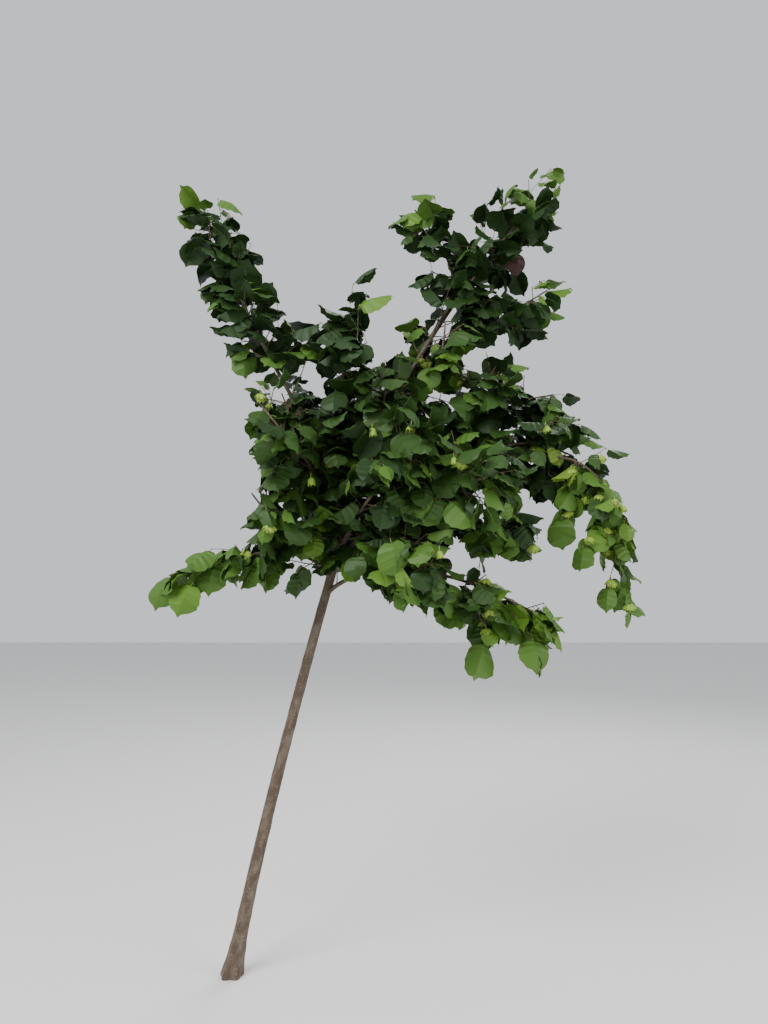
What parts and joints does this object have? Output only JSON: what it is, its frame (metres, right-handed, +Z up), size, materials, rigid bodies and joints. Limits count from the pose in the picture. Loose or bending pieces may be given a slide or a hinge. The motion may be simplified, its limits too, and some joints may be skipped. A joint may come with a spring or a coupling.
{
  "type": "young hazel tree",
  "caption": "Young hazel tree in full leaf on one leaning trunk, with a forked open crown, a drooping arm on the right and pale green nuts, cut flat at ground level.",
  "frame": {"origin": "middle of the trunk's flat cut at ground level", "axes": "+Z up, +X to the right of the picture, the side that the trunk leans to, -Y towards the picture's camera"},
  "size_m": [1.6623, 1.0562, 2.8248],
  "materials": {
    "bark": "satin grey-brown bark with pale flecks",
    "foliage": "matt dark green leaf, paler underneath"
  },
  "bodies": {
    "root": {"trunk": "bark", "bough_centre": "bark", "bough_left": "bark", "bough_right": "bark", "bough_low_left": "bark", "bough_low_right": "bark", "bough_back": "bark", "bough_front": "bark", "bough_left_mid": "bark", "bough_left_low": "bark", "bough_inner_left": "bark", "bough_back_left": "bark", "bough_middle": "bark", "bough_centre_upper": "bark", "bough_back_upper": "bark", "bough_mid_right": "bark", "bough_top_right": "bark", "bough_right_inner": "bark", "bough_right_upper": "bark", "bough_droop": "bark", "bough_front_right": "bark", "bough_back_right": "bark", "bough_right_under": "bark", "bough_front_low": "bark", "bough_low_hang": "bark", "bough_back_low": "bark", "leaves_top_centre": "foliage", "leaves_left_leader": "foliage", "leaves_right": "foliage", "leaves_low_left": "foliage", "leaves_low_right": "foliage", "leaves_back": "foliage", "leaves_front": "foliage", "leaves_left_mid": "foliage", "leaves_left_low": "foliage", "leaves_inner_left": "foliage", "leaves_back_left": "foliage", "leaves_middle": "foliage", "leaves_centre_upper": "foliage", "leaves_back_upper": "foliage", "leaves_mid_right": "foliage", "leaves_top_right": "foliage", "leaves_right_inner": "foliage", "leaves_right_upper": "foliage", "leaves_droop": "foliage", "leaves_front_right": "foliage", "leaves_back_right": "foliage", "leaves_right_under": "foliage", "leaves_front_low": "foliage", "leaves_low_hang": "foliage", "leaves_back_low": "foliage"}
  },
  "joints": []
}
